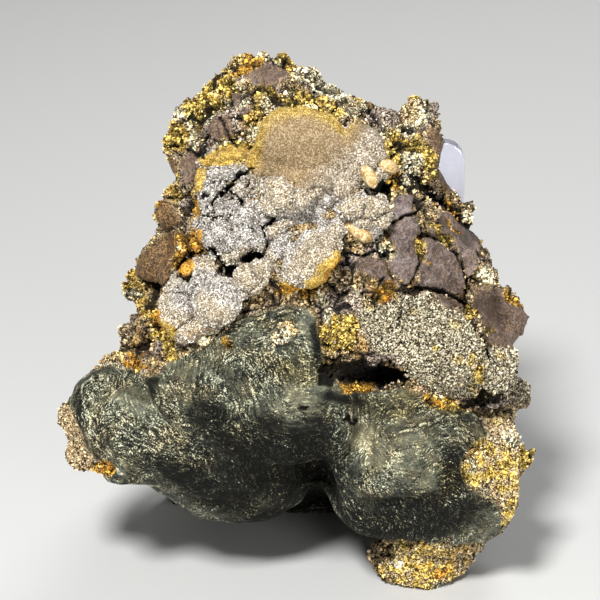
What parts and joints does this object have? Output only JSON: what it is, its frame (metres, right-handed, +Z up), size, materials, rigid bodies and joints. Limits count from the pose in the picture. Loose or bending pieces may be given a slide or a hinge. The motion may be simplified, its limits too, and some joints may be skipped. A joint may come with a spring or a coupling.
{
  "type": "pyrite specimen",
  "caption": "Natural mass of botryoidal pyrite and limonite under crystal crusts, leaning by a bent clear rest on a table.",
  "frame": {"origin": "on the table, under the middle of the whole object's box", "axes": "+X to the viewer's right, +Y away from the viewer, +Z up; the specimen's best face looks along -Y"},
  "size_m": [0.0968, 0.0946, 0.1047],
  "materials": {
    "rock": "rough rock with crystal crusts and smooth dark lobes",
    "clear_plastic": "clear, polished"
  },
  "bodies": {
    "root": {"specimen": "rock", "display_rest": "clear_plastic"}
  },
  "joints": []
}
